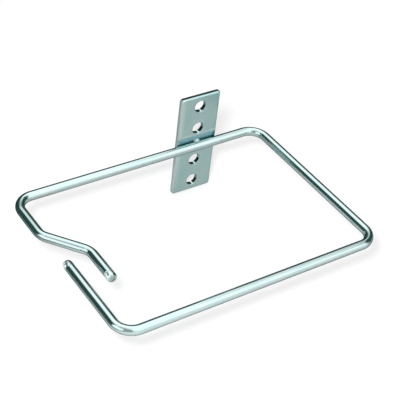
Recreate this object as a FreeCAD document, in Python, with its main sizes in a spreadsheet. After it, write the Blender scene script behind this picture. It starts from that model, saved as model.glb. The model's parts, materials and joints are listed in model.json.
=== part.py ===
import FreeCAD, Part
import math
import os
import Sketcher
from FreeCAD import Vector

# A cable management ring: a rectangle of round steel wire that lies level, open at its left side by a
# jogged gate that cables are pressed through, and welded to an upright strip with four screw holes.
# Millimetres. The origin is the middle of the strip's back face, which lies against the rack or wall.
# +X runs to the right along the ring's rear side, +Y points back into the rack, and +Z is up.

DIMENSIONS = [
    ("wire_diameter", 4.1, "Round wire that the ring is bent from"),
    ("bend_radius", 7.5, "Radius of each bend, at the middle of the wire"),
    ("ring_width", 119.5, "Left side to right side, between the middles of the wire"),
    ("ring_depth", 86.2, "Front side to rear side, between the middles of the wire"),
    ("ring_rise", 0.4, "Height of the ring above the middle of the plate"),
    ("plate_inset", 31.3, "Right side of the ring to the middle of the plate"),
    ("front_stub", 43.6, "Front side of the ring to the tip of its left side"),
    ("gate_overrun", 1.5, "How far the gate's leg stands outside the left side"),
    ("gate_leg", 24.0, "Rear side of the ring to the gate's first bend"),
    ("gate_shift", 13.1, "How far the gate's tongue stands inside its leg"),
    ("gate_angle", 38.3, "Turn of each of the gate's two bends, in degrees"),
    ("gate_overlap", 16.0, "How far the tongue's tip reaches past the left side's tip"),
    ("tip_bevel_length", 1.0, "Bevel at each end of the wire, along it"),
    ("tip_bevel_depth", 0.5, "Bevel at each end of the wire, across it"),
    ("plate_width", 20.0, "Width of the mounting plate"),
    ("plate_thickness", 2.0, "Thickness of the mounting plate"),
    ("plate_corner", 1.2, "Radius of the plate's corners"),
    ("plate_edge", 0.3, "Rounding of the plate's outer edges"),
    ("hole_diameter", 5.5, "Clearance hole for a screw"),
    ("hole_bevel", 0.35, "Deburring of the holes' front rims"),
    ("screw_pitch", 28.575, "Between the two holes of a set, a rack's own pitch"),
    ("hole_step", 11.425, "Between the two sets of holes, one above the other"),
    ("hole_to_end", 5.5, "Outer holes' middles to the ends of the plate"),
    ("weld_setdown", 0.15, "How far the wire is pressed flat against the plate"),
    ("weld_width", 3.2, "Length of the weld along the wire"),
    ("weld_reach", 1.6, "How far the weld stands out from the plate"),
    ("weld_rise", 0.9, "How far the weld stands past the wire, above and below it"),
]

# Points of a sketch's lines and circles, and the sketch's own axes, by their numbers.
START, END, CENTRE = 1, 2, 3
ORIGIN = X_AXIS = -1
Y_AXIS = -2
TOUCHING = 1e-4

document = FreeCAD.newDocument("cable_ring")


def make_sheet():
    """Writes the driving dimensions to a sheet, one row each: a description and a named cell."""
    sheet = document.addObject("Spreadsheet::Sheet", "dims")
    for row, (alias, value, description) in enumerate(DIMENSIONS, start=1):
        sheet.set(f"A{row}", description)
        sheet.set(f"B{row}", str(value))
        sheet.setAlias(f"B{row}", alias)
    document.recompute()
    return sheet


dims = make_sheet()


def origin_plane(body, role):
    return next(feature for feature in body.Origin.OriginFeatures if feature.Role == role)


def new_body(label):
    body = document.addObject("PartDesign::Body", label)
    body.Label = label
    return body


def new_sketch(body, role, name):
    """A sketch on one of the body's own origin planes."""
    sketch = body.newObject("Sketcher::SketchObject", name)
    sketch.AttachmentSupport = (origin_plane(body, role), [""])
    sketch.MapMode = "FlatFace"
    return sketch


def dimension(sketch, name, formula, kind, *where):
    """Adds a dimension to a sketch, driven by a formula of the sheet's cells."""
    value = float(sketch.evalExpression(formula))
    index = sketch.addConstraint(Sketcher.Constraint(kind, *where, value))
    sketch.renameConstraint(index, name)
    sketch.setExpression(f"Constraints.{name}", formula)


def centred_rectangle(sketch, width, height):
    """Draws a rectangle about the sketch's origin. Its width and height are formulas."""
    x = float(sketch.evalExpression(width)) / 2
    y = float(sketch.evalExpression(height)) / 2
    corners = [Vector(-x, -y), Vector(x, -y), Vector(x, y), Vector(-x, y)]
    sides = range(len(corners))
    for side in sides:
        sketch.addGeometry(Part.LineSegment(corners[side - 1], corners[side]), False)
    for side in sides:
        following = (side + 1) % len(corners)
        sketch.addConstraint(Sketcher.Constraint("Coincident", side, END, following, START))
    left, bottom, right, top = sides
    for side in (left, right):
        sketch.addConstraint(Sketcher.Constraint("Vertical", side))
    for side in (bottom, top):
        sketch.addConstraint(Sketcher.Constraint("Horizontal", side))
    sketch.addConstraint(Sketcher.Constraint("Symmetric", bottom, START, top, START, ORIGIN, START))
    dimension(sketch, "width", width, "DistanceX", bottom, START, bottom, END)
    dimension(sketch, "height", height, "DistanceY", right, START, right, END)


def edges_where(shape, test):
    """Names of the edges of a shape that pass a test."""
    return [f"Edge{number}" for number, edge in enumerate(shape.Edges, start=1) if test(edge)]


def check_cut(feature):
    """Stops the build where a cut has missed the solid."""
    if not feature.Shape.Volume < feature.BaseFeature.Shape.Volume - TOUCHING:
        raise RuntimeError(f"{feature.Label} cuts nothing")


def make_path(body):
    """The wire's middle line: seven straight runs with their corners rounded, fully dimensioned."""
    right = dims.plate_inset
    left = right - dims.ring_width
    front = -dims.ring_depth
    gate = left - dims.gate_overrun
    tongue = gate + dims.gate_shift
    left_tip = front + dims.front_stub
    first_bend = -dims.gate_leg
    second_bend = first_bend - dims.gate_shift / math.tan(math.radians(dims.gate_angle))
    points = [
        Vector(left, left_tip),
        Vector(left, front),
        Vector(right, front),
        Vector(right, 0),
        Vector(gate, 0),
        Vector(gate, first_bend),
        Vector(tongue, second_bend),
        Vector(tongue, left_tip - dims.gate_overlap),
    ]
    sketch = new_sketch(body, "XY_Plane", "wire_path")
    for start, end in zip(points, points[1:]):
        sketch.addGeometry(Part.LineSegment(start, end), False)
    runs = range(len(points) - 1)
    bends = runs[:-1]
    for run in bends:
        sketch.addConstraint(Sketcher.Constraint("Coincident", run, END, run + 1, START))
    left_run, front_run, right_run, rear_run, leg_run, jog_run, tongue_run = runs
    for run in (left_run, right_run, leg_run, tongue_run):
        sketch.addConstraint(Sketcher.Constraint("Vertical", run))
    for run in (front_run, rear_run):
        sketch.addConstraint(Sketcher.Constraint("Horizontal", run))

    # Rounding a corner adds an arc, and a point where the corner was, which takes the dimensions.
    arcs = []
    for run in bends:
        arcs.append(sketch.GeometryCount)
        sketch.fillet(run, END, dims.bend_radius, 1, True)
    front_left, front_right, rear_right, rear_left, jog_start, jog_end = [arc + 1 for arc in arcs]
    dimension(sketch, "bend_radius", "dims.bend_radius", "Radius", arcs[0])
    for arc in arcs[1:]:
        sketch.addConstraint(Sketcher.Constraint("Equal", arcs[0], arc))
    sketch.addConstraint(Sketcher.Constraint("PointOnObject", rear_right, START, X_AXIS))
    dimension(sketch, "plate_inset", "dims.plate_inset", "DistanceX", ORIGIN, START, rear_right, START)
    dimension(sketch, "ring_width", "dims.ring_width", "DistanceX", front_left, START, front_right, START)
    dimension(sketch, "ring_depth", "dims.ring_depth", "DistanceY", front_right, START, rear_right, START)
    dimension(sketch, "front_stub", "dims.front_stub", "DistanceY", front_left, START, left_run, START)
    dimension(sketch, "gate_overrun", "dims.gate_overrun", "DistanceX", rear_left, START, front_left, START)
    dimension(sketch, "gate_leg", "dims.gate_leg", "DistanceY", jog_start, START, rear_left, START)
    dimension(sketch, "gate_shift", "dims.gate_shift", "DistanceX", jog_start, START, jog_end, START)
    dimension(sketch, "gate_drop", "dims.gate_shift / tan(dims.gate_angle * 1 deg)", "DistanceY",
              jog_end, START, jog_start, START)
    dimension(sketch, "gate_overlap", "dims.gate_overlap", "DistanceY", tongue_run, END, left_run, START)
    return sketch


def make_wire_ring():
    """The ring: one length of round wire, bevelled at its tips and pressed flat where it is welded."""
    body = new_body("wire_ring")
    body.setExpression("Placement.Base.y",
                       "-(dims.plate_thickness + dims.wire_diameter / 2 - dims.weld_setdown)")
    body.setExpression("Placement.Base.z", "dims.ring_rise")
    path = make_path(body)

    section = new_sketch(body, "XZ_Plane", "wire_section")
    section.setExpression("AttachmentOffset.Base.z", "dims.ring_depth - dims.front_stub")
    left_side = Vector(dims.plate_inset - dims.ring_width, 0)
    circle = section.addGeometry(Part.Circle(left_side, Vector(0, 0, 1), dims.wire_diameter / 2), False)
    section.addConstraint(Sketcher.Constraint("PointOnObject", circle, CENTRE, X_AXIS))
    dimension(section, "left_side", "dims.ring_width - dims.plate_inset", "DistanceX",
              circle, CENTRE, ORIGIN, START)
    dimension(section, "wire_diameter", "dims.wire_diameter", "Diameter", circle)
    wire = body.newObject("PartDesign::AdditivePipe", "bent_wire")
    wire.Profile = section
    wire.Spine = (path, [""])
    document.recompute()

    def bounds_tip(edge):
        faces = wire.Shape.ancestorsOfType(edge, Part.Face)
        return any(isinstance(face.Surface, Part.Plane) for face in faces)

    tips = body.newObject("PartDesign::Chamfer", "wire_tips")
    tips.Base = (wire, edges_where(wire.Shape, bounds_tip))
    tips.ChamferType = "Two distances"
    tips.setExpression("Size", "dims.tip_bevel_length")
    tips.setExpression("Size2", "dims.tip_bevel_depth")
    document.recompute()

    seat = new_sketch(body, "XZ_Plane", "weld_seat_outline")
    seat.setExpression("AttachmentOffset.Base.z", "-(dims.wire_diameter / 2 - dims.weld_setdown)")
    centred_rectangle(seat, "dims.plate_width", "dims.wire_diameter")
    flat = body.newObject("PartDesign::Pocket", "weld_seat")
    flat.Profile = seat
    flat.setExpression("Length", "dims.wire_diameter")
    document.recompute()
    check_cut(flat)
    return body


def make_mounting_plate():
    """The plate: an upright strip with two sets of deburred screw holes and rounded edges."""
    body = new_body("mounting_plate")
    outline = new_sketch(body, "XZ_Plane", "plate_outline")
    centred_rectangle(outline, "dims.plate_width",
                      "dims.screw_pitch + dims.hole_step + 2 * dims.hole_to_end")
    strip = body.newObject("PartDesign::Pad", "strip")
    strip.Profile = outline
    strip.setExpression("Length", "dims.plate_thickness")
    document.recompute()

    def crosses_strip(edge):
        return edge.BoundBox.YLength > dims.plate_thickness / 2

    corners = body.newObject("PartDesign::Fillet", "strip_corners")
    corners.Base = (strip, edges_where(strip.Shape, crosses_strip))
    corners.setExpression("Radius", "dims.plate_corner")
    document.recompute()

    hole_sketch = new_sketch(body, "XZ_Plane", "upper_hole_outlines")
    heights = {
        "outer": "(dims.screw_pitch + dims.hole_step) / 2",
        "inner": "(dims.screw_pitch - dims.hole_step) / 2",
    }
    for name, height in heights.items():
        centre = Vector(0, float(hole_sketch.evalExpression(height)))
        hole = hole_sketch.addGeometry(Part.Circle(centre, Vector(0, 0, 1), dims.hole_diameter / 2), False)
        hole_sketch.addConstraint(Sketcher.Constraint("PointOnObject", hole, CENTRE, Y_AXIS))
        dimension(hole_sketch, f"{name}_height", height, "DistanceY", ORIGIN, START, hole, CENTRE)
        dimension(hole_sketch, f"{name}_diameter", "dims.hole_diameter", "Diameter", hole)
    upper_holes = body.newObject("PartDesign::Pocket", "upper_holes")
    upper_holes.Profile = hole_sketch
    upper_holes.Type = "ThroughAll"
    upper_holes.Reversed = True
    document.recompute()
    check_cut(upper_holes)
    holes = body.newObject("PartDesign::Mirrored", "lower_holes")
    holes.Originals = [upper_holes]
    holes.MirrorPlane = (origin_plane(body, "XY_Plane"), [""])
    body.Tip = holes
    document.recompute()

    def is_front_rim(edge):
        return edge.isClosed() and abs(edge.BoundBox.YMax + dims.plate_thickness) < TOUCHING

    rims = body.newObject("PartDesign::Chamfer", "deburred_holes")
    rims.Base = (holes, edges_where(holes.Shape, is_front_rim))
    rims.setExpression("Size", "dims.hole_bevel")
    document.recompute()

    def is_outline(edge):
        at_face = edge.BoundBox.YLength < TOUCHING
        return at_face and not edge.isClosed()

    rounding = body.newObject("PartDesign::Fillet", "rounded_edges")
    rounding.Base = (rims, edges_where(rims.Shape, is_outline))
    rounding.setExpression("Radius", "dims.plate_edge")
    document.recompute()
    return body


def make_weld_bead(ring, plate):
    """The weld: metal squeezed out above and below the wire, in the wedge between it and the plate."""
    pool = document.addObject("Part::Ellipsoid", "weld_pool")
    pool.setExpression("Radius1", "dims.wire_diameter / 2 + dims.weld_rise")
    pool.setExpression("Radius2", "dims.weld_width / 2")
    pool.setExpression("Radius3", "dims.weld_reach")
    pool.setExpression("Placement.Base.y", "-dims.plate_thickness")
    pool.setExpression("Placement.Base.z", "dims.ring_rise")
    round_wire = document.addObject("Part::Cut", "weld_round_wire")
    round_wire.Base = pool
    round_wire.Tool = ring
    bead = document.addObject("Part::Cut", "weld_bead")
    bead.Base = round_wire
    bead.Tool = plate
    bead.Label = "weld_bead"
    document.recompute()
    return bead


def check_document(subparts):
    """Stops the build if any feature failed or any sub-part isn't a sound solid."""
    for feature in document.Objects:
        if "Invalid" in feature.State or "Error" in feature.State:
            raise RuntimeError(f"{feature.Label} failed: {feature.State}")
    for subpart in subparts:
        if subpart.Shape.isNull() or not subpart.Shape.isValid() or not subpart.Shape.Solids:
            raise RuntimeError(f"{subpart.Label} isn't a sound solid")


def main():
    ring = make_wire_ring()
    plate = make_mounting_plate()
    bead = make_weld_bead(ring, plate)
    subparts = [ring, plate, bead]
    check_document(subparts)
    os.makedirs("parts", exist_ok=True)
    for subpart in subparts:
        subpart.Shape.exportStep(f"parts/{subpart.Label}.step")


main()
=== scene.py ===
import json
import math

import bmesh
import bpy
from bpy.props import FloatProperty, FloatVectorProperty, PointerProperty
from mathutils import Matrix, Quaternion, Vector, noise


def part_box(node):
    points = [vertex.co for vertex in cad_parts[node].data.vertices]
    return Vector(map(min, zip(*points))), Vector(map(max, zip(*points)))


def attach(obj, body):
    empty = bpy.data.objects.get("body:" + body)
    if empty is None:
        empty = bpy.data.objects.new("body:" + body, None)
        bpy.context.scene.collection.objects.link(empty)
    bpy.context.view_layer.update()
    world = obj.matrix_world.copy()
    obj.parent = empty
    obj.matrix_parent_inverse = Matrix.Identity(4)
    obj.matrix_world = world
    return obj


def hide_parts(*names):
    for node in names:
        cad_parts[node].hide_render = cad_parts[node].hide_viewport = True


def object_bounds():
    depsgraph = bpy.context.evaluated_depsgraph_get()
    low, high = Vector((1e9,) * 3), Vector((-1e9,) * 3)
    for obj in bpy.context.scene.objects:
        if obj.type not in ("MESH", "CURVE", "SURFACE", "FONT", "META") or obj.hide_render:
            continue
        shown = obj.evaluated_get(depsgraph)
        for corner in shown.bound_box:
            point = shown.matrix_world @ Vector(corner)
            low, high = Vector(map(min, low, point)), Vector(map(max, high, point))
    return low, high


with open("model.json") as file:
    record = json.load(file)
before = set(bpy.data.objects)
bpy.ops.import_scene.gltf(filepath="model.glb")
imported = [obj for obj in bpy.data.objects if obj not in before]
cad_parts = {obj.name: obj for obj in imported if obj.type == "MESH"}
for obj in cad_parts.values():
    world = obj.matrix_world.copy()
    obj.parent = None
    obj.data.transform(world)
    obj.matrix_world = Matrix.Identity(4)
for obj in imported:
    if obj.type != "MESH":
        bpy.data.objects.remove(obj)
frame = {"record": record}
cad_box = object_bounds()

# A cable management ring: round steel wire bent to an open rectangle and welded to an upright strip
# with four screw holes, all zinc plated and passivated. Metres, in the frame of the CAD model.

bl_info = {
    "name": "Cable Management Ring",
    "version": (1, 0, 0),
    "blender": (4, 5, 0),
    "location": "View3D > Sidebar > Cable Ring",
    "description": "Builds a zinc plated wire ring for cables, welded to a strip with screw holes",
    "category": "Add Mesh",
}

BODY = "root"
MERGE_DISTANCE = 1e-7
SHARP_ANGLE = math.radians(38)
QUARTER_TURN = math.pi / 2
UP = Vector((0, 0, 1))
WHITE = (1.0, 1.0, 1.0, 1.0)

wire_low, wire_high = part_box("wire_ring")
plate_low, plate_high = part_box("mounting_plate")
wire_radius = (wire_high.z - wire_low.z) / 2
wire_level = (wire_low.z + wire_high.z) / 2
screws = next(mount["dims"] for mount in frame["record"]["mounts"] if mount["name"] == "upper_screws")


def length(name, description, default):
    """A length that a user can change."""
    return FloatProperty(name=name, description=description, default=default,
                         min=0.0, precision=5, subtype="DISTANCE", unit="LENGTH")


def point(name, description, default):
    """A place in three directions that a user can change."""
    return FloatVectorProperty(name=name, description=description, default=default,
                               size=3, precision=5, subtype="TRANSLATION", unit="LENGTH")


def angle(name, description, degrees):
    """An angle that a user can change."""
    return FloatProperty(name=name, description=description, default=math.radians(degrees),
                         subtype="ANGLE", unit="ROTATION")


def colour(name, description, default):
    """A colour that a user can change."""
    return FloatVectorProperty(name=name, description=description, default=default,
                               size=3, min=0.0, max=1.0, subtype="COLOR")


def share(name, description, default):
    """A share from 0 to 1 that a user can change."""
    return FloatProperty(name=name, description=description, default=default,
                         min=0.0, max=1.0, subtype="FACTOR")


class CableRingWire(bpy.types.PropertyGroup):
    """Sizes of the bent wire."""
    diameter: length("Diameter", "Thickness of the round wire", 2 * wire_radius)
    bend_radius: length("Bend Radius", "Radius of each bend, at the middle of the wire", 0.0075)
    front_stub: length("Front Stub", "Front side of the ring to the tip of its left side", 0.0436)
    gate_overrun: length("Gate Overrun", "How far the gate's leg stands outside the left side", 0.0015)
    gate_leg: length("Gate Leg", "Rear side of the ring to the gate's first bend", 0.0240)
    gate_shift: length("Gate Shift", "How far the gate's tongue stands inside its leg", 0.0131)
    gate_angle: angle("Gate Angle", "Turn of each of the gate's two bends", 38.3)
    gate_overlap: length("Gate Overlap", "How far the tongue's tip reaches past the left tip", 0.0160)
    tip_length: length("Tip Length", "Bevel at each end of the wire, along it", 0.0010)
    tip_depth: length("Tip Depth", "Bevel at each end of the wire, across it", 0.0005)
    tip_rounding: length("Tip Rounding", "Rounding of the edges at each end of the wire", 0.00025)
    ground_tip: length("Ground Tip", "Length of wire that is ground dull at each end", 0.0033)
    bend_flattening: share("Bend Flattening", "How much thinner the wire gets in a bend", 0.04)


class CableRingPlate(bpy.types.PropertyGroup):
    """Sizes of the strip that is screwed to the rack."""
    width: length("Width", "Width of the strip", plate_high.x - plate_low.x)
    height: length("Height", "Height of the strip", plate_high.z - plate_low.z)
    thickness: length("Thickness", "Thickness of the strip", plate_high.y - plate_low.y)
    corner: length("Corner", "Radius of the strip's corners", 0.0012)
    edge: length("Edge", "Rounding of the strip's rear edges", 0.0002)
    rollover: length("Rollover", "Rounding of the strip's front edges, where the shear went in", 0.0008)
    hole_radius: length("Hole Radius", "Radius of a screw hole", screws["hole_r_mm"] / 1000)
    hole_rim: length("Hole Rim", "Rounding of a hole's front rim, where the punch went in", 0.00035)
    # The hole walls that get painted shade keep only this front share of their depth plated.
    hole_cut: share("Hole Cut", "Share of a hole's depth that the punch cut clean", 0.04)
    screw_pitch: length("Screw Pitch", "Between the two holes of a set", screws["spacing_y_mm"] / 1000)
    hole_to_end: length("Hole to End", "Outer holes' middles to the ends of the strip", 0.0055)


class CableRingWeld(bpy.types.PropertyGroup):
    """Sizes of the metal squeezed out where the wire is welded on."""
    width: length("Width", "Length of the weld along the wire", 0.0042)
    reach: length("Reach", "How far the weld stands out from the strip", 0.0019)
    rise: length("Rise", "How far the weld stands past the wire, above and below it", 0.0012)
    unevenness: share("Unevenness", "How lumpy the weld is", 0.18)


class CableRingFinish(bpy.types.PropertyGroup):
    """Colours and gloss of the zinc plating."""
    wire_zinc: colour("Wire Zinc", "Bare tone of the wire's plating", (0.64, 0.76, 0.755))
    wire_film: colour("Wire Film", "Tone where the wire's film is thicker", (0.57, 0.735, 0.735))
    strip_zinc: colour("Strip Zinc", "Bare tone of the strip's plating", (0.56, 0.755, 0.74))
    strip_film: colour("Strip Film", "Tone where the strip's film is thicker", (0.485, 0.715, 0.70))
    # Painted highlight up the strip's left edge, and a painted reflection of the wire's bright top.
    painted_highlight: colour("Build Up", "Tone of heavier zinc at the left edge and the lip", (0.70, 0.88, 0.86))
    # Painted shade and painted reflection of the wire's dark back, in the wedge beside the wire.
    painted_wedge_shade: colour("Crevice", "Tone of thin plating in the wedge beside the wire", (0.28, 0.47, 0.52))
    # Painted shade along the seam at the wire and at the strip's right end beside it.
    painted_deep_shade: colour("Soot", "Tone of the seam beside the wire and its scorched end", (0.07, 0.20, 0.23))
    weld: colour("Weld", "Bare tone of the weld's plating", (0.80, 0.91, 0.91))
    weld_film: colour("Weld Film", "Tone where the weld's film is thicker", (0.60, 0.80, 0.82))
    tip: colour("Tip", "Tone of the wire's ground tips", (0.75, 0.90, 0.88))
    cut_end: colour("Cut End", "Tone of the wire's two cut ends", (0.50, 0.61, 0.59))
    slit: colour("Slit", "Bare tone of the strip's long sides", (0.78, 0.88, 0.87))
    slit_film: colour("Slit Film", "Tone where the long sides' film is thicker", (0.68, 0.82, 0.81))
    # These dark tones are also painted shade on the hole walls that face up and to the left.
    shear: colour("Shear", "Tone of the strip's sheared ends", (0.03, 0.05, 0.05))
    shear_film: colour("Shear Film", "Tone of the sheared ends where plating holds", (0.07, 0.10, 0.10))
    wire_roughness: share("Wire Roughness", "Roughness of the drawn wire", 0.10)
    tip_roughness: share("Tip Roughness", "Roughness of the wire's ground tips", 0.38)
    strip_roughness: share("Strip Roughness", "Roughness of the rolled strip", 0.18)
    weld_roughness: share("Weld Roughness", "Roughness of the weld", 0.48)
    slit_roughness: share("Slit Roughness", "Roughness of the strip's long sides", 0.65)
    shear_roughness: share("Shear Roughness", "Roughness of the sheared ends", 0.40)


class CableRingStage(bpy.types.PropertyGroup):
    """The floor, the soft lights and the camera."""
    floor: colour("Floor", "Tone of the pale floor", (0.42, 0.42, 0.42))
    floor_lift: share("Floor Lift", "Light that only the camera sees on the floor", 0.592)
    mirror_near: share("Mirror Near", "Light that only metal sees on the floor at the ring", 0.15)
    mirror_front: share("Mirror Front", "Light that only metal sees on the floor in front", 0.53)
    room_glow: share("Room Glow", "Light of the white room on the floor and on matt surfaces", 0.58)
    flag: colour("Flag", "Tone of the dark screens that the metal mirrors", (0.024, 0.062, 0.056))
    flag_distance: length("Flag Distance", "From the strip to the dark screens round the ring", 2.0)
    flag_top: length("Flag Top", "Height above which the rear screen has faded out", 2.55)
    flag_fade: length("Flag Fade", "Upper part of the rear screen, in which it fades out", 1.3)
    floor_flag_front: length("Floor Flag Front", "From the strip to where the floor darkens", 0.015)
    floor_flag_fade: length("Floor Flag Fade", "Depth of floor over which it darkens", 0.050)
    softbox_glow: FloatProperty(name="Softbox Glow", default=0.42, min=0.0,
                                description="Brightness that the soft lights add, where 1 is white")
    flash_glow: FloatProperty(name="Flash Glow", description="Power of the light that casts the shadow",
                              default=31.0, min=0.0, subtype="POWER", unit="POWER")
    flash_radius: length("Flash Radius", "Radius of that light, for a soft shadow", 0.036)
    flash_place: point("Flash Place", "From the camera, to its right, up and back", (-0.039, 0.046, 0.0))
    camera_aim: point("Camera Aim", "Point that the camera looks at", (-0.02595, -0.0439, 0.00768))
    camera_azimuth: angle("Camera Azimuth", "Direction of the camera, from the front", -37.54)
    camera_elevation: angle("Camera Elevation", "Height of the camera above the horizon", 38.465)
    camera_roll: angle("Camera Roll", "Turn of the camera about its own line of sight", 7.413)
    camera_distance: length("Camera Distance", "Camera to the point that it looks at", 0.475)
    focal_length: FloatProperty(name="Focal Length", description="Focal length of the camera's lens",
                                default=105.06, min=1.0, subtype="DISTANCE_CAMERA", unit="CAMERA")


class CableRingSettings(bpy.types.PropertyGroup):
    """All settings of the ring and its stage."""
    wire: PointerProperty(type=CableRingWire)
    plate: PointerProperty(type=CableRingPlate)
    weld: PointerProperty(type=CableRingWeld)
    finish: PointerProperty(type=CableRingFinish)
    stage: PointerProperty(type=CableRingStage)


def set_inputs(tree, node, inputs):
    """Sets each input of a node to a constant, or links another node's socket to it."""
    for name, value in inputs.items():
        if isinstance(value, bpy.types.NodeSocket):
            tree.links.new(value, node.inputs[name])
        else:
            node.inputs[name].default_value = value


def add_node(tree, kind, inputs=None, **settings):
    """Adds a shader node with its settings and its inputs."""
    node = tree.nodes.new(kind)
    for name, value in settings.items():
        setattr(node, name, value)
    set_inputs(tree, node, inputs or {})
    return node


def calculate(tree, operation, *values):
    """The result of a calculation with constants and other nodes' sockets."""
    result = add_node(tree, "ShaderNodeMath", dict(enumerate(values)), operation=operation)
    return result.outputs["Value"]


def along(tree, place, axis):
    """How far a place lies along an axis."""
    return add_node(tree, "ShaderNodeVectorMath", {0: place, 1: axis},
                    operation="DOT_PRODUCT").outputs["Value"]


def soft_mask(tree, value, clear, full, strength=1.0):
    """A mask that grows smoothly, from where a value leaves it clear to where it is full."""
    return add_node(tree, "ShaderNodeMapRange",
                    {"Value": value, "From Min": clear, "From Max": full, "To Max": strength},
                    interpolation_type="SMOOTHSTEP").outputs["Result"]


def blend(tree, factor, first, second, kind="RGBA"):
    """A colour, or a value of another kind, between two others."""
    return add_node(tree, "ShaderNodeMix", {"Factor": factor, "A": first, "B": second},
                    data_type=kind).outputs["Result"]


def relief(tree, height, depth, **inputs):
    """The normals of a surface with a relief of some depth."""
    bump = add_node(tree, "ShaderNodeBump",
                    {"Height": height, "Distance": depth, "Strength": 1.0, **inputs})
    return bump.outputs["Normal"]


def opaque(tone):
    """A tone as a shader's colour."""
    return (*tone, 1.0)


def new_group(name, inputs, outputs):
    """An empty shader node group, from the types of its inputs and outputs by their names."""
    group = bpy.data.node_groups.new(name, "ShaderNodeTree")
    for in_out, sockets in (("INPUT", inputs), ("OUTPUT", outputs)):
        for label, kind in sockets.items():
            group.interface.new_socket(label, in_out=in_out, socket_type=kind)
    return group, group.nodes.new("NodeGroupInput").outputs, group.nodes.new("NodeGroupOutput")


def use_group(tree, build, inputs):
    """Adds a shared node group, which is built when it is first used."""
    name = build.__name__
    group = bpy.data.node_groups.get(name) or build(name)
    return add_node(tree, "ShaderNodeGroup", inputs, node_tree=group).outputs


def zinc_film(name):
    """Cloudy passivation: a colour that drifts between two tones, and dull and bright patches."""
    group, given, out = new_group(
        name,
        {"Vector": "NodeSocketVector", "Zinc": "NodeSocketColor", "Film": "NodeSocketColor",
         "Cloud Scale": "NodeSocketFloat", "Roughness": "NodeSocketFloat", "Dullness": "NodeSocketFloat"},
        {"Color": "NodeSocketColor", "Roughness": "NodeSocketFloat"},
    )
    clouds = add_node(group, "ShaderNodeTexNoise",
                      {"Vector": given["Vector"], "Scale": given["Cloud Scale"], "Detail": 3.0,
                       "Roughness": 0.55}).outputs["Fac"]
    cloudy = add_node(group, "ShaderNodeMapRange",
                      {"Value": clouds, "From Min": 0.35, "From Max": 0.65}).outputs["Result"]
    specks = add_node(group, "ShaderNodeTexNoise",
                      {"Vector": given["Vector"], "Scale": 1800.0, "Detail": 2.0}).outputs["Fac"]
    haze = calculate(group, "MULTIPLY", clouds, specks)
    set_inputs(group, out, {
        "Color": blend(group, cloudy, given["Zinc"], given["Film"]),
        "Roughness": calculate(group, "MULTIPLY_ADD", haze, given["Dullness"], given["Roughness"]),
    })
    return group


def draw_lines(name):
    """Fine lines left by drawing the wire or rolling the strip. They run along Z of the given vector."""
    group, given, out = new_group(
        name,
        {"Vector": "NodeSocketVector", "Across": "NodeSocketFloat", "Along": "NodeSocketFloat"},
        {"Height": "NodeSocketFloat"},
    )
    stretch = add_node(group, "ShaderNodeCombineXYZ",
                       {"X": given["Across"], "Y": given["Across"], "Z": given["Along"]})
    drawn = add_node(group, "ShaderNodeVectorMath", {0: given["Vector"], 1: stretch.outputs["Vector"]},
                     operation="MULTIPLY")
    lines = add_node(group, "ShaderNodeTexNoise",
                     {"Vector": drawn.outputs["Vector"], "Scale": 1.0, "Detail": 2.0, "Roughness": 0.6})
    set_inputs(group, out, {"Height": lines.outputs["Fac"]})
    return group


def rough_grain(name):
    """Coarse grain of ground or melted metal, as a height."""
    group, given, out = new_group(
        name,
        {"Vector": "NodeSocketVector", "Scale": "NodeSocketFloat", "Detail": "NodeSocketFloat"},
        {"Height": "NodeSocketFloat"},
    )
    grain = add_node(group, "ShaderNodeTexNoise",
                     {"Vector": given["Vector"], "Scale": given["Scale"], "Detail": given["Detail"],
                      "Roughness": 0.7})
    set_inputs(group, out, {"Height": grain.outputs["Fac"]})
    return group


GLANCING_TINT = (0.08, 0.11, 0.11, 1.0)


def new_metal(name):
    """A metal that is darker at glancing angles, with its node tree and its shader."""
    material = bpy.data.materials.new(name)
    material.use_nodes = True
    tree = material.node_tree
    shader = tree.nodes["Principled BSDF"]
    set_inputs(tree, shader, {"Metallic": 1.0, "Specular Tint": GLANCING_TINT})
    return material, tree, shader


# Grinding spared the side of the tips that SPARED_SIDE points to, across the unbent wire. The wire is
# untouched from the first share of its radius on, and fully ground below the second. Ground metal turns
# pale and matt where its grain is low, between the two heights of PALE_GRAIN. GRAIN_SHIFT sets which
# patches of the grain the tips get.
SPARED_SIDE = (0.76, 0.65, 0.0)
GROUND_SHARES = (0.6, 0.2)
PALE_GRAIN = (0.60, 0.45)
GRAIN_SHIFT = (0.091, 0.049, 0.0)


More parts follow.
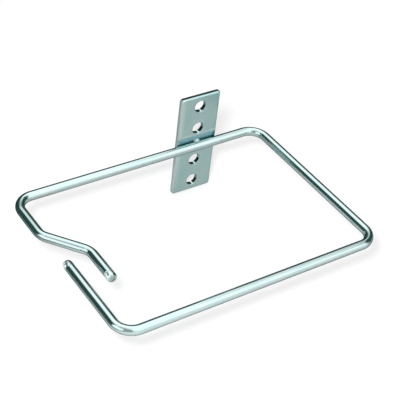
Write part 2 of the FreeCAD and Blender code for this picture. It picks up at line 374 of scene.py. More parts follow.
def wire_material(finish):
    """Drawn and plated wire, ground dull on one side of its tips, with pale patches and darker ends."""
    material, tree, shader = new_metal("plated_wire")
    unbent = add_node(tree, "ShaderNodeAttribute", attribute_name="unbent").outputs["Vector"]
    tips = add_node(tree, "ShaderNodeAttribute", attribute_name="ground").outputs["Fac"]
    cut = add_node(tree, "ShaderNodeAttribute", attribute_name="cut").outputs["Fac"]
    film = use_group(tree, zinc_film,
                     {"Vector": unbent, "Zinc": opaque(finish.wire_zinc),
                      "Film": opaque(finish.wire_film), "Cloud Scale": 70.0,
                      "Roughness": finish.wire_roughness, "Dullness": 0.12})
    lines = use_group(tree, draw_lines, {"Vector": unbent, "Across": 2200.0, "Along": 30.0})["Height"]
    shifted = add_node(tree, "ShaderNodeVectorMath", {0: unbent, 1: GRAIN_SHIFT}, operation="ADD")
    grain = use_group(tree, rough_grain,
                      {"Vector": shifted.outputs["Vector"], "Scale": 800.0, "Detail": 0.5})["Height"]
    clear, full = (part * wire_radius for part in GROUND_SHARES)
    one_side = soft_mask(tree, along(tree, unbent, SPARED_SIDE), clear, full, tips)
    ground = calculate(tree, "MAXIMUM", one_side, cut)
    patches = soft_mask(tree, grain, *PALE_GRAIN, ground)
    metal = calculate(tree, "ADD", calculate(tree, "SUBTRACT", cut, patches), 1.0)
    tip_tone = blend(tree, cut, opaque(finish.tip), opaque(finish.cut_end))
    drawn = relief(tree, lines, 0.000004)
    set_inputs(tree, shader, {
        "Base Color": blend(tree, ground, film["Color"], tip_tone),
        "Roughness": blend(tree, ground, film["Roughness"], finish.tip_roughness, "FLOAT"),
        "Metallic": calculate(tree, "MINIMUM", metal, 1.0),
        "Normal": relief(tree, grain, 0.0006, Strength=ground, Normal=drawn),
    })
    return material


# Painted marks on the strip's front face, each from where it is clear to where it is full: a painted
# highlight up the left edge, a painted reflection of the wire's bright top, and painted shade in the
# wedge, along the seam and at the right end. Those beside the wire go by the height above the wire's
# middle, and are closer to it below.
FRONT_SKIN = 0.0002
LOWER_SQUEEZE = 1.2
# A painted reflection of the wire's bright top, in bands above and below it.
REFLECTION_HEIGHT = 0.0050
REFLECTION_STRENGTH = 0.8
FROM_REFLECTION = (0.0010, 0.0001)
# Painted shade in the wedge beside the wire.
WEDGE_TOP = (0.0046, 0.0037)
WEDGE_FOOT = (0.0016, 0.0032)
# Painted shade along the seam where the wire meets the strip.
SEAM_TOP = (0.0021, 0.0017)
SEAM_FOOT = (0.0010, 0.0013)
# Painted shade at the strip's right end beside the wire, on its front and right side.
RIGHT_SHADE_TOP = (0.0040, 0.0031)
RIGHT_SHADE_FROM_RIGHT = (0.0024, 0.0015)
RIGHT_SHADE_DEPTH = 0.0012
# A painted highlight up the strip's left edge, clear at its foot.
BRIGHT_FROM_LEFT = (0.0032, 0.0008)
BRIGHT_FROM_FOOT = (0.001, 0.022)


def strip_material(finish, name, zinc, passive, roughness):
    """Rolled, plated strip with rolling lines that run up it; painted shade beside the wire, and painted
    highlights.
    """
    material, tree, shader = new_metal(name)
    place = add_node(tree, "ShaderNodeTexCoord").outputs["Object"]
    film = use_group(tree, zinc_film,
                     {"Vector": place, "Zinc": opaque(zinc), "Film": opaque(passive),
                      "Cloud Scale": 110.0, "Roughness": roughness, "Dullness": 0.16})
    lines = use_group(tree, draw_lines, {"Vector": place, "Across": 1600.0, "Along": 40.0})["Height"]
    axes = add_node(tree, "ShaderNodeSeparateXYZ", {"Vector": place}).outputs
    front = calculate(tree, "LESS_THAN", axes["Y"], plate_low.y + FRONT_SKIN)
    above = calculate(tree, "SUBTRACT", axes["Z"], wire_level)
    below = calculate(tree, "MULTIPLY", above, -LOWER_SQUEEZE)
    height = calculate(tree, "MAXIMUM", above, below)
    from_left = calculate(tree, "SUBTRACT", axes["X"], plate_low.x)
    from_right = calculate(tree, "SUBTRACT", plate_high.x, axes["X"])
    from_foot = calculate(tree, "SUBTRACT", axes["Z"], plate_low.z)
    from_reflection = calculate(tree, "ABSOLUTE", calculate(tree, "SUBTRACT", height, REFLECTION_HEIGHT))

    # Painted highlight at the left edge and painted reflection of the wire, in one pale tone.
    edge = soft_mask(tree, from_left, *BRIGHT_FROM_LEFT, soft_mask(tree, from_foot, *BRIGHT_FROM_FOOT))
    wire_reflection = soft_mask(tree, from_reflection, *FROM_REFLECTION, REFLECTION_STRENGTH)
    built = calculate(tree, "MULTIPLY", calculate(tree, "MAXIMUM", edge, wire_reflection), front)
    # Painted shade in the wedge beside the wire.
    wedge = soft_mask(tree, height, *WEDGE_TOP, soft_mask(tree, height, *WEDGE_FOOT, front))
    # Painted shade along the seam and at the strip's right end beside the wire.
    seam = soft_mask(tree, height, *SEAM_TOP, soft_mask(tree, height, *SEAM_FOOT, front))
    near_front = calculate(tree, "LESS_THAN", axes["Y"], plate_low.y + RIGHT_SHADE_DEPTH)
    right_end = soft_mask(tree, from_right, *RIGHT_SHADE_FROM_RIGHT, near_front)
    right_end_shade = soft_mask(tree, height, *RIGHT_SHADE_TOP, right_end)
    tone = blend(tree, built, film["Color"], opaque(finish.painted_highlight))
    tone = blend(tree, wedge, tone, opaque(finish.painted_wedge_shade))
    tone = blend(tree, calculate(tree, "MAXIMUM", seam, right_end_shade), tone, opaque(finish.painted_deep_shade))
    set_inputs(tree, shader, {
        "Base Color": tone,
        "Roughness": film["Roughness"],
        "Normal": relief(tree, lines, 0.000008),
    })
    return material


def sheared_and_shaded_material(finish):
    """Dark torn metal of the strip's ends, also painted shade on the hole walls facing up and left; drag
    lines run front to back.
    """
    material, tree, shader = new_metal("sheared_edge_and_wall_shade")
    place = add_node(tree, "ShaderNodeTexCoord").outputs["Object"]
    turned = add_node(tree, "ShaderNodeMapping", {"Vector": place, "Rotation": (QUARTER_TURN, 0.0, 0.0)})
    film = use_group(tree, zinc_film,
                     {"Vector": place, "Zinc": opaque(finish.shear), "Film": opaque(finish.shear_film),
                      "Cloud Scale": 600.0, "Roughness": finish.shear_roughness, "Dullness": 0.2})
    lines = use_group(tree, draw_lines,
                      {"Vector": turned.outputs["Vector"], "Across": 2600.0, "Along": 250.0})["Height"]
    set_inputs(tree, shader, {
        "Base Color": film["Color"],
        "Roughness": film["Roughness"],
        "Normal": relief(tree, lines, 0.00006),
    })
    return material


def weld_material(finish):
    """Melted metal under the plating."""
    material, tree, shader = new_metal("plated_weld")
    place = add_node(tree, "ShaderNodeTexCoord").outputs["Object"]
    film = use_group(tree, zinc_film,
                     {"Vector": place, "Zinc": opaque(finish.weld), "Film": opaque(finish.weld_film),
                      "Cloud Scale": 500.0, "Roughness": finish.weld_roughness, "Dullness": 0.2})
    grain = use_group(tree, rough_grain, {"Vector": place, "Scale": 2200.0, "Detail": 4.0})["Height"]
    set_inputs(tree, shader, {
        "Base Color": film["Color"],
        "Roughness": film["Roughness"],
        "Normal": relief(tree, grain, 0.00004),
    })
    return material


def round_off(bm, geom, radius, segments, affect="EDGES"):
    """Rounds edges, or the corners of an outline."""
    bmesh.ops.bevel(bm, geom=geom, offset=radius, segments=segments, profile=0.5,
                    affect=affect, material=-1)


def cut_flat(bm, place, normal, clear_outer=False):
    """Cuts a mesh along a plane, and clears what is past it if asked to."""
    bmesh.ops.bisect_plane(bm, geom=bm.verts[:] + bm.edges[:] + bm.faces[:], plane_co=place,
                           plane_no=normal, clear_outer=clear_outer)


def only(kind, elements):
    """The elements of one kind, such as edges, among those that an operator made."""
    return [element for element in elements if isinstance(element, kind)]


def finish_piece(bm, name, materials):
    """Makes a piece of the part from a bmesh, in place of the CAD node of the same name."""
    bmesh.ops.remove_doubles(bm, verts=bm.verts, dist=MERGE_DISTANCE)
    bmesh.ops.recalc_face_normals(bm, faces=bm.faces)
    mesh = bpy.data.meshes.new(name)
    bm.to_mesh(mesh)
    bm.free()
    mesh.shade_smooth()
    mesh.set_sharp_from_angle(angle=SHARP_ANGLE)
    for material in materials:
        mesh.materials.append(material)
    piece = bpy.data.objects.new(f"{name}_plated", mesh)
    bpy.context.collection.objects.link(piece)
    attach(piece, BODY)
    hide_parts(name)
    return piece


class WireBender:
    """Bends a wire as a machine does: it feeds the open end straight on, or turns it round a pin."""
    SEGMENTS = 64
    FEED_STEP = 0.006
    TURN_STEP = math.radians(3.75)
    FINISH_STEP = 0.0005
    TIP_ANGLE = math.radians(20)
    TIP_SEGMENTS = 3

    def __init__(self, start, heading, radius):
        self.bm = bmesh.new()
        self.unbent = self.bm.verts.layers.float_vector.new("unbent")
        self.ground = self.bm.verts.layers.float.new("ground")
        self.cut = self.bm.verts.layers.float.new("cut")
        made = bmesh.ops.create_circle(self.bm, cap_ends=True, segments=self.SEGMENTS, radius=radius)
        for vert in made["verts"]:
            vert[self.unbent] = vert.co
            vert[self.ground] = 1.0
            vert[self.cut] = 1.0
        self.finish = 1.0
        self.place = Vector(start)
        self.heading = Vector(heading).normalized()
        self.loop = self.bm.edges[:]
        upright = UP.rotation_difference(self.heading).to_matrix().to_4x4()
        bmesh.ops.transform(self.bm, matrix=Matrix.Translation(self.place) @ upright,
                            verts=made["verts"])

    def end_verts(self):
        """The corners of the open end."""
        return list({vert for edge in self.loop for vert in edge.verts})

    def take(self, edges, advance):
        """Goes on from new edges at the open end, further along the straight wire."""
        self.loop = edges
        for vert in self.end_verts():
            vert[self.unbent].z += advance
            vert[self.ground] = self.finish
            vert[self.cut] = 0.0

    def advance(self, step):
        """Feeds one step, as one ring of faces."""
        made = bmesh.ops.extrude_edge_only(self.bm, edges=self.loop)["geom"]
        self.place += self.heading * step
        verts = set(only(bmesh.types.BMVert, made))
        bmesh.ops.translate(self.bm, vec=self.heading * step, verts=list(verts))
        edges = only(bmesh.types.BMEdge, made)
        self.take([edge for edge in edges if verts.issuperset(edge.verts)], step)

    def taper(self, step, factor):
        """Feeds one step, at the end of which the wire is thicker or thinner."""
        self.advance(step)
        bmesh.ops.scale(self.bm, vec=(factor,) * 3, space=Matrix.Translation(-self.place),
                        verts=self.end_verts())

    def feed(self, distance):
        """Feeds the wire straight on."""
        steps = max(1, round(distance / self.FEED_STEP))
        for _ in range(steps):
            self.advance(distance / steps)

    def change_finish(self, ground):
        """Changes between ground and drawn wire, within one short step."""
        self.finish = ground
        self.advance(self.FINISH_STEP)

    def turn(self, turn, radius, flattening):
        """Turns the wire to the left by an angle, or to the right by a negative one."""
        side = math.copysign(1.0, turn)
        pin = self.place + UP.cross(self.heading) * side * radius
        steps = max(1, round(abs(turn) / self.TURN_STEP))
        rotation = Quaternion(UP, turn / steps)
        thickness = 1.0
        for step in range(1, steps + 1):
            made = bmesh.ops.spin(self.bm, geom=self.loop + self.end_verts(), cent=pin, axis=UP,
                                  angle=turn / steps, steps=1)["geom_last"]
            self.place = pin + rotation @ (self.place - pin)
            self.heading = rotation @ self.heading
            self.take(only(bmesh.types.BMEdge, made), radius * abs(turn) / steps)
            flattened = 1.0 - flattening * math.sin(math.pi * step / steps)
            self.squeeze(flattened / thickness)
            thickness = flattened

    def squeeze(self, factor):
        """Scales the open end level, towards the middle of the wire."""
        across = self.heading.cross(UP)
        bmesh.ops.transform(self.bm, matrix=Matrix.Scale(factor, 4, across),
                            space=Matrix.Translation(-self.place), verts=self.end_verts())

    def close(self, rounding):
        """Closes the open end, and rounds the edges of both tips."""
        for vert in self.end_verts():
            vert[self.cut] = 1.0
        bmesh.ops.edgeloop_fill(self.bm, edges=self.loop)
        bmesh.ops.recalc_face_normals(self.bm, faces=self.bm.faces)
        tips = [edge for edge in self.bm.edges if edge.calc_face_angle(0) > self.TIP_ANGLE]
        round_off(self.bm, tips, rounding, self.TIP_SEGMENTS)


class CABLE_RING_OT_bend_wire(bpy.types.Operator):
    """Bends the wire to an open rectangle with a jogged gate at its left side"""
    bl_idname = "cable_ring.bend_wire"
    bl_label = "Bend Wire"

    def execute(self, context):
        sizes = context.scene.cable_ring.wire
        radius = sizes.diameter / 2
        right = wire_high.x - radius
        rear = wire_high.y - radius
        front = wire_low.y + radius
        gate = wire_low.x + radius
        left = gate + sizes.gate_overrun
        tongue = gate + sizes.gate_shift
        left_tip = front + sizes.front_stub
        first_bend = rear - sizes.gate_leg
        second_bend = first_bend - sizes.gate_shift / math.tan(sizes.gate_angle)
        tongue_tip = left_tip - sizes.gate_overlap
        path = [(left, left_tip), (left, front), (right, front), (right, rear), (gate, rear),
                (gate, first_bend), (tongue, second_bend), (tongue, tongue_tip)]
        corners = [Vector((x, y, wire_level)) for x, y in path]
        turns = [QUARTER_TURN] * 4 + [sizes.gate_angle, -sizes.gate_angle]
        ground = sizes.ground_tip + WireBender.FINISH_STEP
        setbacks = [ground] + [sizes.bend_radius * math.tan(abs(turn) / 2) for turn in turns] + [ground]
        sides = zip(corners, corners[1:], setbacks, setbacks[1:])
        runs = [(after - before).length - setback - next_setback
                for before, after, setback, next_setback in sides]

        tip_radius = radius - sizes.tip_depth
        bender = WireBender(corners[0], corners[1] - corners[0], tip_radius)
        bender.taper(sizes.tip_length, radius / tip_radius)
        bender.feed(sizes.ground_tip - sizes.tip_length)
        bender.change_finish(0.0)
        for run, turn in zip(runs, turns):
            bender.feed(run)
            bender.turn(turn, sizes.bend_radius, sizes.bend_flattening)
        bender.feed(runs[-1])
        bender.change_finish(1.0)
        bender.feed(sizes.ground_tip - sizes.tip_length)
        bender.taper(sizes.tip_length, tip_radius / radius)
        bender.close(sizes.tip_rounding)
        material = wire_material(context.scene.cable_ring.finish)
        finish_piece(bender.bm, "wire_ring", [material])
        return {"FINISHED"}


class CABLE_RING_OT_punch_plate(bpy.types.Operator):
    """Cuts the strip, punches its four screw holes and rounds its edges"""
    bl_idname = "cable_ring.punch_plate"
    bl_label = "Punch Plate"
    # Width of the flat bands round the outline and the holes, as a multiple of the rounding in them.
    BAND = 1.25
    CORNER_SEGMENTS = 6
    HOLE_SEGMENTS = 64
    RIM_SEGMENTS = 4
    EDGE_SEGMENTS = 5
    CORNER_ANGLE = math.radians(60)
    # Hole walls painted dark as shade: the way that their middle faces, and the cosine of their spread to
    # each side.
    SHADED_WALL_SIDES = ((Vector((-0.824, 0.0, 0.566)), math.cos(math.radians(31))),
                  (Vector((0.105, 0.0, 0.995)), math.cos(math.radians(18))))
    # A face is a hole's wall with less than this Y in its normal, an end with more than this Z, and a
    # side with more than this X. Walls and rims lie within RIM_REACH radii of a hole's middle.
    WALL_SLOPE = 0.75
    END_SLOPE = 0.9
    SIDE_SLOPE = 0.7
    RIM_REACH = 1.08
    # Materials of the cut faces and of the painted shade in the holes, by their place in the strip's
    # list.
    SLIT = 1
    SHEARED_AND_SHADED = 2

    def execute(self, context):
        sizes = context.scene.cable_ring.plate
        outer = sizes.height / 2 - sizes.hole_to_end
        inner = sizes.screw_pitch - outer
        heights = (outer, inner, -inner, -outer)
        bm = bmesh.new()
        self.cut_blank(bm, sizes, heights)
        self.round_edges(bm, sizes, heights)
        self.mark_cuts(bm, sizes, heights)
        bmesh.ops.translate(bm, vec=(0, plate_high.y, (plate_low.z + plate_high.z) / 2), verts=bm.verts)

        finish = context.scene.cable_ring.finish
        materials = [
            strip_material(finish, "plated_strip", finish.strip_zinc, finish.strip_film,
                           finish.strip_roughness),
            strip_material(finish, "slit_side", finish.slit, finish.slit_film, finish.slit_roughness),
            sheared_and_shaded_material(finish),
        ]
        plate = finish_piece(bm, "mounting_plate", materials)
        flat = plate.modifiers.new("flat_faces", "WEIGHTED_NORMAL")
        flat.keep_sharp = True
        return {"FINISHED"}

    def outline(self, bm, sizes, inset):
        """Edges of a rectangle with round corners, at a distance inside the strip's outline."""
        known = set(bm.edges)
        corners = bmesh.ops.create_grid(bm, x_segments=1, y_segments=1, size=0.5)["verts"]
        bmesh.ops.scale(bm, vec=(sizes.width - 2 * inset, sizes.height - 2 * inset, 1), verts=corners)
        round_off(bm, corners, sizes.corner - inset, self.CORNER_SEGMENTS, "VERTICES")
        bmesh.ops.delete(bm, geom=bm.faces[:], context="FACES_ONLY")
        return [edge for edge in bm.edges if edge not in known]

    def hole(self, bm, height, radius):
        """Edges of a circle round the middle of a screw hole."""
        known = set(bm.edges)
        bmesh.ops.create_circle(bm, segments=self.HOLE_SEGMENTS, radius=radius,
                                matrix=Matrix.Translation((0, height, 0)))
        return [edge for edge in bm.edges if edge not in known]

    def cut_blank(self, bm, sizes, heights):
        """Makes the strip with its holes, still sharp all round, with its back at the origin."""
        borders = [(self.outline(bm, sizes, 0.0), self.outline(bm, sizes, sizes.rollover * self.BAND))]
        for height in heights:
            borders.append((self.hole(bm, height, sizes.hole_radius),
                            self.hole(bm, height, sizes.hole_radius + sizes.hole_rim * self.BAND)))
        for border, inset in borders:
            bmesh.ops.bridge_loops(bm, edges=border + inset)
        insets = [edge for _, inset in borders for edge in inset]
        bmesh.ops.triangle_fill(bm, edges=insets, use_beauty=True)
        made = bmesh.ops.extrude_face_region(bm, geom=bm.faces[:], use_keep_orig=True)["geom"]
        bmesh.ops.translate(bm, vec=(0, 0, sizes.thickness), verts=only(bmesh.types.BMVert, made))
        bmesh.ops.rotate(bm, matrix=Matrix.Rotation(QUARTER_TURN, 3, "X"), verts=bm.verts)
        bmesh.ops.recalc_face_normals(bm, faces=bm.faces)

    def beside_hole(self, sizes, heights, place):
        """Whether a place is on the wall or the rim of a screw hole."""
        reach = sizes.hole_radius * self.RIM_REACH
        return any(math.hypot(place.x, place.z - height) < reach for height in heights)

    def round_edges(self, bm, sizes, heights):
        """Rounds the holes' front rims and the strip's outline. The holes' rear rims stay sharp."""
        sharp = [edge for edge in bm.edges if edge.calc_face_angle(0) > self.CORNER_ANGLE]
        front_edges = [edge for edge in sharp if edge.verts[0].co.y < -sizes.thickness / 2]
        rims = [edge for edge in front_edges if self.beside_hole(sizes, heights, edge.verts[0].co)]
        front_outline = [edge for edge in front_edges if edge not in rims]
        rear_outline = [edge for edge in sharp if edge not in front_edges
                        and not self.beside_hole(sizes, heights, edge.verts[0].co)]
        round_off(bm, rims, sizes.hole_rim, self.RIM_SEGMENTS)
        round_off(bm, front_outline, sizes.rollover, self.EDGE_SEGMENTS)
        round_off(bm, rear_outline, sizes.edge, self.EDGE_SEGMENTS)

    def is_shaded_wall(self, normal):
        """Whether the wall of a hole that faces this way is painted dark as shade."""
        return any(normal.dot(side) > spread for side, spread in self.SHADED_WALL_SIDES)

    def mark_cuts(self, bm, sizes, heights):
        """Gives the slit sides and sheared ends their own materials, and paints shade on hole walls
        facing up and left.
        """
        torn = -sizes.thickness * (1 - sizes.hole_cut)
        cut_flat(bm, (0, torn, 0), (0, 1, 0))
        bm.normal_update()
        for face in bm.faces:
            middle = face.calc_center_median()
            in_hole = (abs(face.normal.y) < self.WALL_SLOPE
                       and self.beside_hole(sizes, heights, middle))
            # Painted shade: hole walls facing up and to the left get the dark sheared tone behind a thin
            # front band.
            if in_hole and middle.y > torn and self.is_shaded_wall(face.normal):
                face.material_index = self.SHEARED_AND_SHADED
            elif abs(face.normal.z) > self.END_SLOPE and abs(middle.z) > sizes.height / 2 - sizes.edge:
                face.material_index = self.SHEARED_AND_SHADED
            elif abs(face.normal.x) > self.SIDE_SLOPE and abs(middle.x) > sizes.width / 2 - sizes.corner:
                face.material_index = self.SLIT


class CABLE_RING_OT_lay_weld(bpy.types.Operator):
    """Lays the weld above and below the wire, in the wedge between it and the strip"""
    bl_idname = "cable_ring.lay_weld"
    bl_label = "Lay Weld"
    LUMPS_PER_METRE = 900.0
    # The lobes go on inside the wire, to this share of its radius from its middle.
    BURIED = 0.6

    def close(self, bm):
        """Closes what a flat cut has left open."""
        bmesh.ops.holes_fill(bm, edges=[edge for edge in bm.edges if edge.is_boundary])

    def execute(self, context):
        sizes = context.scene.cable_ring.weld
        buried = wire_radius * self.BURIED
        bm = bmesh.new()
        bmesh.ops.create_icosphere(bm, subdivisions=5, radius=1.0)
        bmesh.ops.scale(bm, vec=(sizes.width / 2, sizes.reach, wire_radius + sizes.rise), verts=bm.verts)
        for vert in bm.verts:
            lump = noise.noise(vert.co * self.LUMPS_PER_METRE)
            vert.co *= 1.0 - sizes.unevenness * (0.5 + 0.5 * lump)
        bmesh.ops.translate(bm, vec=(0, plate_low.y, wire_level), verts=bm.verts)
        for side in (1, -1):
            cut_flat(bm, (0, 0, wire_level + side * buried), UP)
        inside = [face for face in bm.faces if abs(face.calc_center_median().z - wire_level) < buried]
        bmesh.ops.delete(bm, geom=inside, context="FACES")
        self.close(bm)
        cut_flat(bm, (0, plate_low.y, 0), (0, 1, 0), clear_outer=True)
        self.close(bm)
        finish_piece(bm, "weld_bead", [weld_material(context.scene.cable_ring.finish)])
        return {"FINISHED"}


def direction(azimuth, elevation):
    """From the object towards a place, by its angle from the front and its height above the horizon."""
    return Vector((math.sin(azimuth) * math.cos(elevation),
                   -math.cos(azimuth) * math.cos(elevation),
                   math.sin(elevation)))


def stage_object(name, bm, material):
    """A card or screen of the stage, from a bmesh."""
    mesh = bpy.data.meshes.new(name)
    bm.to_mesh(mesh)
    bm.free()
    mesh.materials.append(material)
    card = bpy.data.objects.new(name, mesh)
    bpy.context.collection.objects.link(card)
    return card


CARD_SIZE = 12.0


def new_card(name, height, material):
    """A level square card."""
    bm = bmesh.new()
    bmesh.ops.create_grid(bm, x_segments=1, y_segments=1, size=CARD_SIZE / 2,
                          matrix=Matrix.Translation((0, 0, height)))
    return stage_object(name, bm, material)


def new_screen(name, radius, low, high, start, turn, material):
    """A tall screen that curves round the ring, made by turning its upright edge about the middle."""
    bm = bmesh.new()
    foot = direction(start, 0.0) * radius
    verts = [bm.verts.new(foot + UP * height) for height in (low, high)]
    edge = bm.edges.new(verts)
    bmesh.ops.spin(bm, geom=[*verts, edge], cent=(0, 0, 0), axis=UP, angle=turn, steps=48)
    return stage_object(name, bm, material)


def show_only_in_metal(card):
    """Hides a dark card from all but mirroring metal."""
    for ray in ("camera", "diffuse", "transmission", "volume_scatter", "shadow"):
        setattr(card, f"visible_{ray}", False)


def matt_material(name, tone):
    """A matt card, with its node tree and its shader."""
    material = bpy.data.materials.new(name)
    material.use_nodes = True
    tree = material.node_tree
    shader = tree.nodes["Principled BSDF"]
    set_inputs(tree, shader, {"Base Color": opaque(tone), "Roughness": 1.0, "Specular IOR Level": 0.0})
    return material, tree, shader


# Along the floor towards the camera, and where what metal sees of the floor is darkest and brightest.
MIRROR_AXIS = (-0.5, -0.85, 0.0)
MIRROR_DARK = 0.07
MIRROR_BRIGHT = 0.19


def floor_material(stage):
    """A pale floor that keeps shadows. The camera sees it white, and metal sees it brighter in front."""
    material, tree, shader = matt_material("stage_floor", stage.floor)
    path = add_node(tree, "ShaderNodeLightPath").outputs
    place = add_node(tree, "ShaderNodeTexCoord").outputs["Object"]
    mirrored = add_node(tree, "ShaderNodeMapRange",
                        {"Value": along(tree, place, MIRROR_AXIS), "From Min": MIRROR_DARK,
                         "From Max": MIRROR_BRIGHT, "To Min": stage.mirror_near,
                         "To Max": stage.mirror_front}).outputs["Result"]
    seen = calculate(tree, "MULTIPLY", path["Is Camera Ray"], stage.floor_lift)
    set_inputs(tree, shader, {
        "Emission Color": WHITE,
        "Emission Strength": calculate(tree, "MULTIPLY_ADD", path["Is Glossy Ray"], mirrored, seen),
    })
    return material


def flag_material(name, tone, fades, cover):
    """A dark card that fades in along one or more axes, each over a distance from where it is clear."""
    material, tree, shader = matt_material(f"stage_{name}", tone)
    place = add_node(tree, "ShaderNodeTexCoord").outputs["Object"]
    opacity = cover
    for axis, clear, distance in fades:
        opacity = soft_mask(tree, along(tree, place, axis), clear, clear + distance, opacity)
    set_inputs(tree, shader, {"Alpha": opacity})
    return material


def new_world(glow):
    """A white room, which lights matt surfaces less than the camera and mirroring metal see of it."""
    world = bpy.data.worlds.new("studio")
    world.use_nodes = True
    tree = world.node_tree
    path = add_node(tree, "ShaderNodeLightPath").outputs
    seen = calculate(tree, "MAXIMUM", path["Is Camera Ray"], path["Is Glossy Ray"])
    set_inputs(tree, tree.nodes["Background"], {
        "Color": WHITE,
        "Strength": calculate(tree, "MULTIPLY_ADD", seen, 1.0 - glow, glow),
    })
    bpy.context.scene.world = world


def new_softbox(name, place, target, width, depth, glow):
    """A rectangular soft light for the metal to mirror, which adds its glow to the white room."""
    light = bpy.data.lights.new(name, "AREA")
    light.shape = "RECTANGLE"
    light.size = width
    light.size_y = depth
    light.energy = glow * math.pi * width * depth
    lamp = bpy.data.objects.new(name, light)
    lamp.location = place
    lamp.rotation_mode = "QUATERNION"
    lamp.rotation_quaternion = (Vector(target) - Vector(place)).to_track_quat("-Z", "Y")
    lamp.visible_camera = False
    lamp.visible_diffuse = False
    bpy.context.collection.objects.link(lamp)


def new_flash(place, glow, radius):
    """A small light that doesn't fade and that metal doesn't mirror. It gives the floor its shadow."""
    light = bpy.data.lights.new("flash", "POINT")
    light.shadow_soft_size = radius
    light.energy = glow
    light.use_nodes = True
    tree = light.node_tree
    even = add_node(tree, "ShaderNodeLightFalloff", {"Strength": 1.0}).outputs["Constant"]
    set_inputs(tree, tree.nodes["Emission"], {"Strength": even})
    lamp = bpy.data.objects.new("flash", light)
    lamp.location = place
    lamp.visible_glossy = False
    bpy.context.collection.objects.link(lamp)


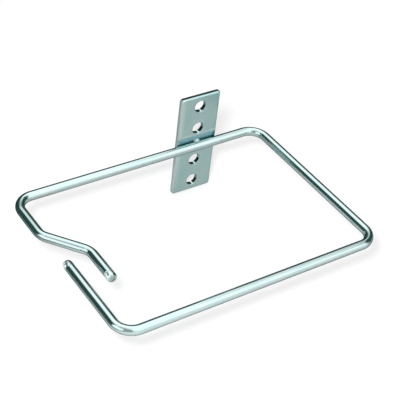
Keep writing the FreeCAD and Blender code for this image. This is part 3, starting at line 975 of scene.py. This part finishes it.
class CABLE_RING_OT_set_stage(bpy.types.Operator):
    """Sets the floor, the soft lights and the camera"""
    bl_idname = "cable_ring.set_stage"
    bl_label = "Set Stage"
    FLOOR_GAP = 0.001
    # In millimetres, as the focal length is.
    SENSOR_WIDTH = 36.0

    def execute(self, context):
        stage = context.scene.cable_ring.stage
        low, high = cad_box
        floor_level = low.z - self.FLOOR_GAP
        middle = Vector(((low.x + high.x) / 2, (low.y + high.y) / 2, floor_level))
        new_card("floor", floor_level, floor_material(stage))
        new_world(stage.room_glow)
        self.set_screens(stage, floor_level)
        self.set_floor_flags(stage, floor_level)
        self.set_lights(stage, middle)
        camera = self.set_camera(stage)
        beside = camera.rotation_quaternion @ Vector(stage.flash_place)
        new_flash(camera.location + beside, stage.flash_glow, stage.flash_radius)
        context.scene.view_settings.view_transform = "Standard"
        return {"FINISHED"}

    def set_screens(self, stage, floor_level):
        """Puts up dark screens that only metal mirrors, round the back and where the camera stands."""
        back = Vector((0, 1, 0))
        across = Vector((0.766, -0.643, 0.0))
        leaning = Vector((-0.3, 0.0, -1.0))
        # First angle and turn in degrees, top, cover, and fades. Each fade is an axis, where the screen
        # is clear along it, and the distance over which it grows dark.
        screens = [
            ("rear_screen", 65, 190, 3.1, 1.0,
             [(leaning, -stage.flag_top, stage.flag_fade)]),
            ("right_screen", 48, 80, 3.0, 1.0,
             [(-UP, -2.8, 0.7), (back, -1.45, 0.7), (-back, -1.2, 0.5)]),
            ("left_gap", -90, 40, 4.9, 0.55,
             [(-UP, -4.9, 1.2), (UP, 1.7, 0.6)]),
            ("camera_screen", -66, 52, 3.8, 0.62,
             [(-UP, -3.7, 0.8), (across, -0.85, 0.4), (-across, -0.85, 0.4)]),
        ]
        for name, start, turn, top, cover, fades in screens:
            material = flag_material(name, stage.flag, fades, cover)
            show_only_in_metal(new_screen(name, stage.flag_distance, floor_level, top,
                                          math.radians(start), math.radians(turn), material))

    def set_floor_flags(self, stage, floor_level):
        """Lays dark cards that only metal mirrors on the floor, behind the ring and beside it."""
        # Height above the floor, cover, and fades as for the screens.
        cards = [
            ("floor_behind", 0.0004, 1.0,
             [((0.1, 0.995, 0.0), stage.floor_flag_front, stage.floor_flag_fade)]),
            ("floor_beside", 0.0006, 1.0,
             [((0.8, 0.6, 0.0), 0.03, 0.05), ((0, 1, 0), -0.05, 0.045)]),
            ("floor_left", 0.0008, 0.75,
             [((-0.85, 0.527, 0.0), 0.060, 0.060)]),
        ]
        for name, height, cover, fades in cards:
            material = flag_material(name, stage.flag, fades, cover)
            show_only_in_metal(new_card(name, floor_level + height, material))

    def set_lights(self, stage, middle):
        """Sets the soft lights round the ring."""
        # Azimuth and elevation in degrees, distance, width, depth, and share of the soft lights' glow.
        softboxes = [
            ("front_softbox", 21, 48, 1.2, 1.35, 1.20, 0.80),
            ("rear_softbox", 172, 61, 1.2, 1.05, 0.82, 0.85),
            ("top_softbox", 93, 84, 0.63, 0.48, 0.40, 0.60),
            ("left_softbox", -80, 18, 1.2, 0.90, 0.80, 0.85),
        ]
        for name, azimuth, elevation, distance, width, depth, glow_share in softboxes:
            place = middle + distance * direction(math.radians(azimuth), math.radians(elevation))
            new_softbox(name, place, middle, width, depth, stage.softbox_glow * glow_share)

    def set_camera(self, stage):
        """Sets the camera at the picture's angle."""
        back = direction(stage.camera_azimuth, stage.camera_elevation)
        lens = bpy.data.cameras.new("camera")
        lens.lens = stage.focal_length
        lens.sensor_width = self.SENSOR_WIDTH
        camera = bpy.data.objects.new("camera", lens)
        camera.rotation_mode = "QUATERNION"
        camera.location = Vector(stage.camera_aim) + back * stage.camera_distance
        camera.rotation_quaternion = (-back).to_track_quat("-Z", "Y") @ Quaternion(UP, stage.camera_roll)
        bpy.context.collection.objects.link(camera)
        bpy.context.scene.camera = camera
        return camera


class VIEW3D_PT_cable_ring(bpy.types.Panel):
    """Lists the steps that build the ring"""
    bl_idname = "VIEW3D_PT_cable_ring"
    bl_label = "Cable Ring"
    bl_space_type = "VIEW_3D"
    bl_region_type = "UI"
    bl_category = "Cable Ring"

    def draw(self, context):
        for operator in OPERATORS:
            self.layout.operator(operator.bl_idname)


OPERATORS = (
    CABLE_RING_OT_bend_wire,
    CABLE_RING_OT_punch_plate,
    CABLE_RING_OT_lay_weld,
    CABLE_RING_OT_set_stage,
)
CLASSES = (
    CableRingWire,
    CableRingPlate,
    CableRingWeld,
    CableRingFinish,
    CableRingStage,
    CableRingSettings,
    *OPERATORS,
    VIEW3D_PT_cable_ring,
)


def register():
    for cls in CLASSES:
        bpy.utils.register_class(cls)
    bpy.types.Scene.cable_ring = PointerProperty(type=CableRingSettings)


def unregister():
    del bpy.types.Scene.cable_ring
    for cls in reversed(CLASSES):
        bpy.utils.unregister_class(cls)


def main():
    register()
    bpy.ops.cable_ring.bend_wire()
    bpy.ops.cable_ring.punch_plate()
    bpy.ops.cable_ring.lay_weld()
    bpy.ops.cable_ring.set_stage()


if __name__ == "__main__":
    main()
